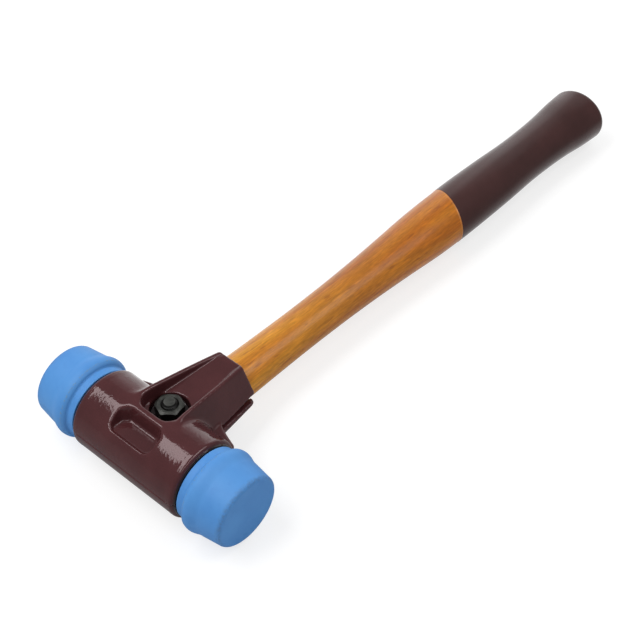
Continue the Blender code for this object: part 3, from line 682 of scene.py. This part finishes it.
# The nut's top and bevel and the bolt's end are painted lighter, partly as wear and partly as painted light
# on the faces that look up, and the sides stay near black, the oxide's own colour deepened as painted shade.
# A point lies on the top or the bevel where its height, with the bevel's drop at that distance from the axis
# added, reaches the top.
nut_top = NUT_SEAT + NUT_HEIGHT
from_top = add(tree, "VectorMath", spot, placed((0, BOLT_FROM_AXIS, nut_top)).tolist(), operation="SUBTRACT")
height = measure(tree, from_top, (0, math.sin(TIP_ANGLE), math.cos(TIP_ANGLE)), "DOT_PRODUCT")
from_axis = measure(tree, add(tree, "VectorMath", from_top, (1, 1, 0), operation="MULTIPLY"), None, "LENGTH")
past_face = add(tree, "Math", from_axis, HEX_FACE * 0.001, operation="SUBTRACT")
slanted = add(tree, "Math", add(tree, "Math", past_face, 0.0, operation="MAXIMUM"), BEVEL, height,
              operation="MULTIPLY_ADD")
on_nut = add(tree, "Math", between(tree, slanted, *TOP_WEAR_AND_LIGHT),
             between(tree, past_face, 0, 0.0001, 1, BEVEL_WEAR_AND_LIGHT), operation="MULTIPLY")
off_bolt = between(tree, from_axis, THREAD_RADIUS * 0.001, BORE_MOUTH * 0.001)
bolt_end = (BOLT_HEAD_TOP + BOLT_LENGTH - nut_top) * 0.001
on_end = between(tree, height, bolt_end + END_WEAR_AND_LIGHT[0], bolt_end + END_WEAR_AND_LIGHT[1])
on_top = add(tree, "Math", on_nut, off_bolt, on_end, operation="MULTIPLY_ADD")
give(tree, sockets["Base Color"], mix(tree, on_top, colour(17, 17, 15), worn_and_lit))
give(tree, sockets["Normal"], add(tree, "Bump", 1.0, 0.00001, None, use(tree, skin_waves, spot, 2500)))

for piece, node, body_name in ((hex_bolt("hexagon_bolt"), "clamp_bolt", "grip"),
                               (hex_nut("hexagon_nut"), "clamp_nut", "nut")):
    piece.data.set_sharp_from_angle(angle=math.radians(40))
    piece.data.materials.append(steel)
    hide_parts(node)
    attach(piece, body_name)


# Studio. A white table with the hammer lying on it, a large soft box high on the left, pale sheets
# standing low behind the head and the grip, a small box and a narrow strip on the right for the
# light along the edges, and dim light all round.

FLOOR_SIZE, FLOOR_GLOW = 6.0, 0.72
ROOM_LIGHT = 0.35
BACK_WARDS = (-1.0, 0.2, 0.0)  # gloss sees the table brighter past these distances, in metres
BACK_EDGE, BACK_START = (-0.035, 0.015), (-0.135, -0.105)
MIRRORED_TABLE = (0.05, 0.85)


def flat_sheet(name, size):
    """Square in the plane Z = 0, facing up."""
    half = size / 2
    corners = [(-half, -half, 0), (half, -half, 0), (half, half, 0), (-half, half, 0)]
    mesh = bpy.data.meshes.new(name)
    mesh.from_pydata(corners, [], [(0, 1, 2, 3)])
    sheet = bpy.data.objects.new(name, mesh)
    scene.collection.objects.link(sheet)
    return sheet


def ray_kinds(tree):
    """1 for rays straight from the camera, and 1 for those by gloss or through glass."""
    rays = tree.nodes.new("ShaderNodeLightPath").outputs
    mirrored = add(tree, "Math", rays["Is Glossy Ray"], rays["Is Transmission Ray"], operation="MAXIMUM")
    return rays["Is Camera Ray"], mirrored


def shown(tree, straight, mirrored, base=0.0):
    """Strength of a background: over a base, its own value for each kind of ray."""
    camera_ray, other_ray = ray_kinds(tree)
    first = add(tree, "Math", camera_ray, straight, base, operation="MULTIPLY_ADD")
    return add(tree, "Math", other_ray, mirrored, first, operation="MULTIPLY_ADD")


table = bpy.data.materials.new("white_table")
table.use_nodes = True
tree = table.node_tree
tree.nodes.remove(tree.nodes["Principled BSDF"])
matt = add(tree, "BsdfDiffuse", (0.8, 0.8, 0.8, 1))
pale = add(tree, "BsdfDiffuse", (0.35, 0.35, 0.35, 1))
spot = tree.nodes.new("ShaderNodeTexCoord").outputs["Object"]
aside = between(tree, measure(tree, spot, BACK_WARDS, "DOT_PRODUCT"), *BACK_EDGE)
behind = between(tree, axes(tree, spot)["Y"], *BACK_START)
back = add(tree, "Math", aside, behind, operation="MINIMUM")
back_light = between(tree, back, 0, 1, *MIRRORED_TABLE)
glow = add(tree, "Emission", (1, 1, 1, 1), shown(tree, FLOOR_GLOW, back_light))
seen = add(tree, "Math", *ray_kinds(tree), operation="MAXIMUM")
gate = add(tree, "MixShader", seen, matt, add(tree, "AddShader", pale, glow))
give(tree, tree.nodes["Material Output"].inputs["Surface"], gate)
floor = flat_sheet("table_top", FLOOR_SIZE)
floor.data.materials.append(table)

world = bpy.data.worlds.new("studio")
world.use_nodes = True
scene.world = world
tree = world.node_tree
background = tree.nodes["Background"].inputs
give(tree, background["Color"], (1, 1, 1, 1))
give(tree, background["Strength"], shown(tree, 1 - ROOM_LIGHT, 0.0, ROOM_LIGHT))
scene.view_settings.view_transform = "Standard"


def heading(azimuth, elevation):
    """Unit direction: azimuth 0 is +Y and 90 is +X, elevation above the table, in degrees."""
    a, e = math.radians(azimuth), math.radians(elevation)
    return Vector((math.sin(a) * math.cos(e), math.cos(a) * math.cos(e), math.sin(e)))


def soft_box(name, towards, distance, along, size, radiance, glint=False):
    """Flat lamp at a distance from the head, turned to it about its own long side.

    Its power is pi * area * radiance, so that its face is that many times as bright as white.
    A glint only shows in gloss.
    """
    side, away = heading(*along), heading(*towards)
    back = (away - side * away.dot(side)).normalized()
    lamp = bpy.data.lights.new(name, "AREA")
    lamp.shape = "RECTANGLE"
    lamp.size, lamp.size_y = size
    lamp.energy = math.pi * size[0] * size[1] * radiance
    box = bpy.data.objects.new(name, lamp)
    place = Vector(HEAD_AXIS) * 0.001 + away * distance
    turned = Matrix((side, back.cross(side), back)).transposed().to_4x4()
    box.matrix_world = Matrix.Translation(place) @ turned
    box.visible_camera = False
    box.visible_diffuse = not glint
    scene.collection.objects.link(box)


soft_box("key_box", (-144, 59.6), 1.07, (-13, 1.4), (1.0, 0.45), 5.6)
soft_box("back_sheet", (-66, 10), 0.60, (50, 0), (0.93, 0.22), 0.30)
soft_box("back_sheet_over", (-66, 14), 0.60, (50, 0), (0.90, 0.32), 0.25)
soft_box("back_sheet_top", (-66, 18), 0.60, (50, 0), (0.87, 0.42), 0.25)
soft_box("dip_sheet", (-12, 15.9), 0.604, (60, 0), (0.34, 0.37), 0.6)
soft_box("rim_box", (45, 53), 0.55, (163, 17), (0.40, 0.25), 2.1)
soft_box("rim_strip", (104.8, 57.9), 0.566, (172.2, 1.9), (0.76, 0.05), 8.0, glint=True)
